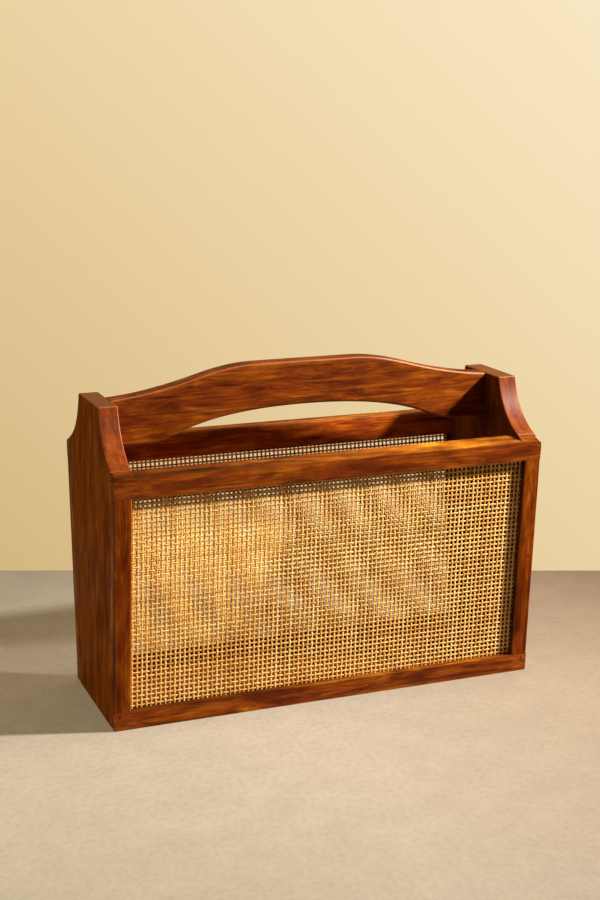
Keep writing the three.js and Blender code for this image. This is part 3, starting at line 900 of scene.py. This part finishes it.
# Filled nail marks
def marks_tree():
    """Slightly uneven round fillings, one on each point, facing the front."""
    tree = group_tree("nail_marks", ("Radius", "Depth"))
    given = add(tree, "NodeGroupInput").outputs
    plug = add(tree, "GeometryNodeMeshCylinder", in_Vertices=16)
    turned = add(tree, "GeometryNodeTransform")
    turned.inputs["Rotation"].default_value = (math.pi / 2, 0, 0)
    size = add(tree, "FunctionNodeRandomValue", data_type="FLOAT_VECTOR")
    size.inputs[0].default_value = (0.82, 1.0, 0.82)
    size.inputs[1].default_value = (1.12, 1.0, 1.12)
    spread = add(tree, "GeometryNodeInstanceOnPoints")
    finish = add(tree, "GeometryNodeSetMaterial")
    real = add(tree, "GeometryNodeRealizeInstances")
    output = add(tree, "NodeGroupOutput")
    join(
        tree,
        (given["Radius"], plug.inputs["Radius"]),
        (given["Depth"], plug.inputs["Depth"]),
        (plug.outputs["Mesh"], turned.inputs["Geometry"]),
        (given["Seed"], size.inputs["Seed"]),
        (given["Geometry"], spread.inputs["Points"]),
        (turned.outputs[0], spread.inputs["Instance"]),
        (size.outputs[0], spread.inputs["Scale"]),
        (spread.outputs[0], real.inputs[0]),
        (real.outputs[0], finish.inputs["Geometry"]),
        (given["Material"], finish.inputs["Material"]),
        (finish.outputs[0], output.inputs[0]),
    )
    return tree


def nail_marks(position, tree, seed, material):
    """The six filled nail marks of a frame, which hide its set nails."""
    depth = NAIL_MARK_DEPTH / 2 - NAIL_MARK_PROUD
    across = HALF_LENGTH - NAIL_INSET
    heights = [share * FRAME_SLOPE for share in NAIL_HEIGHT_SHARES]
    places = [(side * across, depth, height) for side in (-1, 1) for height in heights]
    host = bpy.data.meshes.new("nail_places")
    host.from_pydata(places, [], [])
    values = {
        "Radius": NAIL_MARK_RADIUS,
        "Depth": NAIL_MARK_DEPTH,
        "Seed": seed,
        "Material": material,
    }
    piece = grown(f"{position}_nail_fillings", host, tree, values)
    piece.data.transform(FRAMES[position])
    nails = [
        f"{position}_nail_{level}_{side}"
        for level in ("bottom", "middle", "top")
        for side in ("left", "right")
    ]
    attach(piece, "root")
    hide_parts(*nails)


# The pieces, finished and put in their nodes' places
def set_wood(piece, node, material):
    """Finishes a board and lets it stand for its node."""
    piece.data.materials.append(material)
    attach(piece, "root")
    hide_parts(node)


def framed_boards(position, seed):
    """Rails, stiles and batten of one frame, each cut from its own length of wood."""
    place = FRAMES[position]
    tilt = -LEAN if position == "front" else LEAN
    rails = {"top_rail": top_rail(), "bottom_rail": bottom_rail()}
    for index, (node, mesh) in enumerate(rails.items()):
        name = f"{position}_{node}"
        piece = worked_board(f"{name}_wood", mesh, frame_softness, place)
        finish = f"{name}_finish"
        # The rails get painted light on their tops
        wood = varnished_wood(finish, "x", seed + index, tilt, 1.08, edge=0.7, top_painted_light_and_matt=True)
        set_wood(piece, name, wood)
    flip = Matrix.Rotation(math.pi, 4, "Z") if position == "rear" else Matrix.Identity(4)
    for index, side in enumerate(("left", "right")):
        name = f"{position}_{side}_stile"
        wanted = -1 if side == "left" else 1
        in_frame = wanted * (flip @ Vector((1, 0, 0))).x
        mesh = stile()
        if in_frame < 0:
            bmesh.ops.scale(mesh, vec=(-1, 1, 1), verts=mesh.verts)
        piece = worked_board(f"{name}_wood", mesh, frame_softness, place)
        wood = varnished_wood(
            f"{name}_finish",
            "z",
            seed + 10 + index,
            tilt,
            0.95,
            shine=0.08,
            sheen=0.05,
            edge=0.3,
            painted_flank_light=FLANK_PAINTED_LIGHT[side],
        )
        set_wood(piece, name, wood)
    name = f"{position}_top_batten"
    piece = worked_board(f"{name}_wood", batten(), batten_softness, place)
    # The batten gets painted light on its top
    set_wood(piece, name, varnished_wood(f"{name}_finish", "x", seed + 20, tilt, 1.5, top_painted_light_and_matt=True))


def dress_hidden_nodes():
    """Finishes of the base, reeds and dowels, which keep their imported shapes."""
    bare = {
        "wood": varnished_wood("base_finish", "x", 71),
        "reed": plain_wood("reed_finish", (0.36, 0.20, 0.08), (0.60, 0.40, 0.19), 0.6),
        "dowel": plain_wood("dowel_finish", (0.42, 0.27, 0.14), (0.66, 0.48, 0.29), 0.7),
        "nail": brushed_steel(),
        "cane": plain_wood("cane_stand_in", (0.5, 0.3, 0.1), (0.7, 0.45, 0.2), 0.5),
    }
    slots = {row["node"]: row["material_slot"] for row in frame["record"]["subparts"]}
    for name, node in frame["nodes"].items():
        node.data.materials.clear()
        node.data.materials.append(bare[slots[name]])


dress_hidden_nodes()
for board_side, board_name in ((-1, "left"), (1, "right")):
    board_finish = varnished_wood(
        f"{board_name}_end_finish",
        "z",
        31 + board_side,
        shade=0.9,
        contrast=0.6,
        shine=0.005,
        sheen=0.36,
        edge=0.6,
        painted_flank_light=FLANK_PAINTED_LIGHT[board_name],
    )
    set_wood(end_board(board_side), f"{board_name}_end_panel", board_finish)
set_wood(handle_plank(), "handle", varnished_wood("handle_finish", "x", 44, shade=0.86, edge=0.5))

strands = strands_tree()
marks = marks_tree()
cane = split_cane()
filling = plain_wood("filling_finish", (0.055, 0.013, 0.003), (0.12, 0.030, 0.006), 0.6, 0.05)
for frame_seed, frame_name in ((100, "front"), (200, "rear")):
    framed_boards(frame_name, frame_seed)
    cane_sheet(frame_name, strands, frame_seed, cane)
    nail_marks(frame_name, marks, frame_seed, filling)


# Studio
# Viewpoint and framing of the photograph, 600 by 900 pixels
IMAGE_HEIGHT_PX = 900
FOCAL_PX = 1572.9
AXIS_ROW_PX = 365.3
HORIZON_ROW_PX = 570.5
CAMERA_PLACE = Vector((-0.5157, -1.3048, 0.5488))
CAMERA_YAW = math.radians(21.45)
CAMERA_DIP = math.radians(10.26)
SENSOR = 36

# Lamps, sky, and the wall and floor with their painted light and shade
KEY_PLACE = Vector((0.944, -0.488, 0.92))
KEY_POWER = 163
KEY_RADIUS = 0.05
KEY_COLOUR = (1.0, 0.93, 0.82)
SKY_COLOUR = (1.0, 0.88, 0.70)
SKY_STRENGTH = 0.06
SKY_LOW = 0.3
SKY_HIGH = 0.9
BOUNCE_SHARE = 0.9
GLOSS_SHARE = 0.25
WALL_COLOUR = (0.83, 0.64, 0.36)
WALL_PAINTED_SHADE = (0.66, 0.47, 0.22)
WALL_PAINTED_LIGHT = (0.95, 0.80, 0.55)
WALL_FADE = 0.8
WALL_FADE_START = 0.15
FLOOR_PAINTED_LIGHT = (0.283, 0.258, 0.212)
FLOOR_COLOUR = (0.276, 0.246, 0.207)
FLOOR_PAINTED_SHADE = (0.139, 0.098, 0.068)
FLOOR_PAINTED_LIGHT_X = -0.35
FLOOR_PAINTED_SHADE_X = 0.42
FLOOR_MIDDLE_Y = -0.1
FLOOR_FADE_Y = 0.5
FLOOR_FAR_PAINTED_SHADE = 0.6
FLOOR_PAINTED_GLOW_COLOUR = (0.60, 0.49, 0.34)
FLOOR_FAR_PAINTED_GLOW = (0.46, 0.39, 0.31)
FLOOR_FAR_START = 0.5
FLOOR_FAR_END = 1.5
FLOOR_MIDDLE_SHARE = 0.39
FILL_PLACE = Vector((-2.3, 0.1, 1.5))
FILL_SIZE = 1.8
FILL_POWER = 24
FILL_COLOUR = (1.0, 0.86, 0.66)
STUDIO_REACH = 6.0
WALL_HEIGHT = 3.5

camera_data = bpy.data.cameras.new("camera")
camera_data.sensor_width = SENSOR
camera_data.lens = FOCAL_PX / IMAGE_HEIGHT_PX * SENSOR
camera_data.shift_y = (AXIS_ROW_PX - IMAGE_HEIGHT_PX / 2) / IMAGE_HEIGHT_PX
camera = bpy.data.objects.new("camera", camera_data)
camera.location = CAMERA_PLACE
camera.rotation_euler = (math.pi / 2 - CAMERA_DIP, 0, -CAMERA_YAW)
bpy.context.scene.collection.objects.link(camera)
bpy.context.scene.camera = camera

key_data = bpy.data.lights.new("key", "POINT")
key_data.energy = KEY_POWER
key_data.shadow_soft_size = KEY_RADIUS
key_data.color = KEY_COLOUR
key_data.use_nodes = True
key_tree = key_data.node_tree
key_tree.nodes.clear()
key_reach = add(key_tree, "ShaderNodeLightFalloff", in_Strength=1.0)
key_glow = add(key_tree, "ShaderNodeEmission")
key_output = add(key_tree, "ShaderNodeOutputLight")
key_tree.links.new(key_reach.outputs["Linear"], key_glow.inputs["Strength"])
key_tree.links.new(key_glow.outputs[0], key_output.inputs[0])
key = bpy.data.objects.new("key", key_data)
key.location = KEY_PLACE
bpy.context.scene.collection.objects.link(key)

fill_data = bpy.data.lights.new("fill", "AREA")
fill_data.shape = "SQUARE"
fill_data.size = FILL_SIZE
fill_data.energy = FILL_POWER
fill_data.color = FILL_COLOUR
fill = bpy.data.objects.new("fill", fill_data)
fill.location = FILL_PLACE
fill.rotation_euler = FILL_PLACE.to_track_quat("Z", "Y").to_euler()
fill.visible_glossy = False
bpy.context.scene.collection.objects.link(fill)


def sky():
    """Warm light from above, fading out towards the horizon, dimmer in glosses and seen as the
    colour of the wall.
    """
    world = bpy.data.worlds.new("sky")
    bpy.context.scene.world = world
    world.use_nodes = True
    tree = world.node_tree
    tree.nodes.clear()
    light = add(tree, "ShaderNodeBackground")
    light.inputs["Color"].default_value = (*SKY_COLOUR, 1)
    seen = add(tree, "ShaderNodeBackground", in_Strength=1.0)
    seen.inputs["Color"].default_value = (*WALL_COLOUR, 1)
    mixed = add(tree, "ShaderNodeMixShader")
    output = add(tree, "ShaderNodeOutputWorld")
    path = add(tree, "ShaderNodeLightPath").outputs
    facing = axes_of(tree, own_place(tree, "Generated"))
    high = through(tree, facing["Z"], ((SKY_LOW, 0.0), (SKY_HIGH, 1.0)))
    strength = sums(tree, "MULTIPLY", high, SKY_STRENGTH)
    dimming = sums(tree, "MULTIPLY_ADD", path["Is Glossy Ray"], GLOSS_SHARE - 1, 1.0)
    join(
        tree,
        (sums(tree, "MULTIPLY", strength, dimming), light.inputs["Strength"]),
        (path["Is Camera Ray"], mixed.inputs[0]),
        (light.outputs[0], mixed.inputs[1]),
        (seen.outputs[0], mixed.inputs[2]),
        (mixed.outputs[0], output.inputs[0]),
    )


def wall_with_painted_light():
    """Pale warm wall with painted light, darker low and to the left, paler high and to the right; a
    glow of that colour for the camera and in glosses, dimmer in glosses, lamp-lit for bounced
    light, and open when seen from behind.
    """
    material = new_material("wall_painted_light")
    tree = material.node_tree
    place = axes_of(tree, own_place(tree))
    # Painted light on the wall: painted shade low and to the left, painted light high and to the
    # right
    across = sums(tree, "MULTIPLY_ADD", place["X"], WALL_FADE, WALL_FADE_START)
    fade = sums(tree, "MULTIPLY_ADD", place["Z"], WALL_FADE, across)
    colour = through(tree, fade, ((0.0, WALL_PAINTED_SHADE), (0.5, WALL_COLOUR), (1.0, WALL_PAINTED_LIGHT)))
    paint = add(tree, "ShaderNodeBsdfDiffuse")
    shown = add(tree, "ShaderNodeEmission")
    clear = add(tree, "ShaderNodeBsdfTransparent")
    lit = add(tree, "ShaderNodeMixShader")
    sided = add(tree, "ShaderNodeMixShader")
    output = add(tree, "ShaderNodeOutputMaterial")
    behind = add(tree, "ShaderNodeNewGeometry").outputs["Backfacing"]
    path = add(tree, "ShaderNodeLightPath").outputs
    # The wall glows with its own colour for the camera and in glosses
    shows = sums(tree, "MAXIMUM", path["Is Camera Ray"], path["Is Glossy Ray"])
    dimming = sums(tree, "MULTIPLY", path["Is Glossy Ray"], GLOSS_SHARE - 1)
    join(
        tree,
        (colour, paint.inputs["Color"]),
        (colour, shown.inputs["Color"]),
        (sums(tree, "ADD", dimming, 1.0), shown.inputs["Strength"]),
        (shows, lit.inputs[0]),
        (paint.outputs[0], lit.inputs[1]),
        (shown.outputs[0], lit.inputs[2]),
        (behind, sided.inputs[0]),
        (lit.outputs[0], sided.inputs[1]),
        (clear.outputs[0], sided.inputs[2]),
        (sided.outputs[0], output.inputs[0]),
    )
    return material


def floor_with_painted_light():
    """Floor with a faint mottle and painted light: lighter to the left, painted shadow to the
    right, painted shade towards front and back, and a painted glow seen only by the camera, evener
    far away.
    """
    material = new_material("floor_painted_light")
    tree = material.node_tree
    coordinates = own_place(tree)
    place = axes_of(tree, coordinates)
    # Painted light across the floor: lighter to the left, painted shadow to the right
    span = FLOOR_PAINTED_SHADE_X - FLOOR_PAINTED_LIGHT_X
    across = sums(tree, "MULTIPLY_ADD", place["X"], 1 / span, -FLOOR_PAINTED_LIGHT_X / span)
    tones = ((0.0, FLOOR_PAINTED_LIGHT), (FLOOR_MIDDLE_SHARE, FLOOR_COLOUR), (1.0, FLOOR_PAINTED_SHADE))
    colour = through(tree, across, tones)
    # Painted shade towards the front and the back
    painted_falloff = sums(tree, "ABSOLUTE", sums(tree, "SUBTRACT", place["Y"], FLOOR_MIDDLE_Y))
    painted_falloff = through(tree, painted_falloff, ((0.0, 1.0), (FLOOR_FADE_Y, FLOOR_FAR_PAINTED_SHADE)))
    colour = mix_colours(tree, "MULTIPLY", 1.0, colour, painted_falloff)
    mottle = noise(tree, coordinates, 26.0, detail=8, roughness=0.65)
    clouds = through(tree, mottle, ((0.35, 0.91), (0.65, 1.0)))
    colour = mix_colours(tree, "MULTIPLY", 1.0, colour, clouds)
    grit = through(tree, noise(tree, coordinates, 210.0, detail=3), ((0.34, 0.90), (0.56, 1.0)))
    colour = mix_colours(tree, "MULTIPLY", 1.0, colour, grit)
    bounced = add(tree, "ShaderNodeLightPath").outputs["Is Diffuse Ray"]
    colour = mix_colours(tree, "MULTIPLY", bounced, colour, (BOUNCE_SHARE,) * 3)
    dull = through(tree, mottle, ((0.3, 0.8), (0.7, 0.7)))
    shader = surface(tree, colour, dull, mottle, (0.05, 0.001), Specular_IOR_Level=0.2)
    # Painted glow seen only by the camera, lifting the floor and its shadow
    seen = add(tree, "ShaderNodeLightPath").outputs["Is Camera Ray"]
    painted_glow = mix_colours(tree, "MULTIPLY", 1.0, colour, FLOOR_PAINTED_GLOW_COLOUR)
    distance = add(tree, "ShaderNodeVectorMath", operation="LENGTH")
    tree.links.new(coordinates, distance.inputs[0])
    beyond = add(tree, "ShaderNodeMapRange", interpolation_type="SMOOTHSTEP")
    beyond.inputs["From Min"].default_value = FLOOR_FAR_START
    beyond.inputs["From Max"].default_value = FLOOR_FAR_END
    tree.links.new(distance.outputs["Value"], beyond.inputs["Value"])
    painted_glow = mix_colours(tree, "MIX", beyond.outputs["Result"], painted_glow, FLOOR_FAR_PAINTED_GLOW)
    tree.links.new(painted_glow, shader.inputs["Emission Color"])
    tree.links.new(seen, shader.inputs["Emission Strength"])
    return material


def sheet_of(name, corners, material):
    mesh = bpy.data.meshes.new(name)
    mesh.from_pydata(corners, [], [tuple(range(len(corners)))])
    mesh.materials.append(material)
    piece = link_object(name, mesh)
    return piece


sky()
reach = STUDIO_REACH
sheet_of(
    "floor",
    [(-reach, -reach, 0), (reach, -reach, 0), (reach, reach, 0), (-reach, reach, 0)],
    floor_with_painted_light(),
)
dip = CAMERA_DIP + math.atan((HORIZON_ROW_PX - AXIS_ROW_PX) / FOCAL_PX)
ahead = Vector((math.sin(CAMERA_YAW), math.cos(CAMERA_YAW), 0))
beside = Vector((math.cos(CAMERA_YAW), -math.sin(CAMERA_YAW), 0))
wall_foot = Vector((CAMERA_PLACE.x, CAMERA_PLACE.y, 0)) + ahead * CAMERA_PLACE.z / math.tan(dip)
wall_top = Vector((0, 0, WALL_HEIGHT))
wall_ends = (wall_foot - beside * reach, wall_foot + beside * reach)
wall = sheet_of(
    "wall",
    [wall_ends[0], wall_ends[1], wall_ends[1] + wall_top, wall_ends[0] + wall_top],
    wall_with_painted_light(),
)
wall.visible_shadow = False

bpy.context.scene.view_settings.view_transform = "Standard"
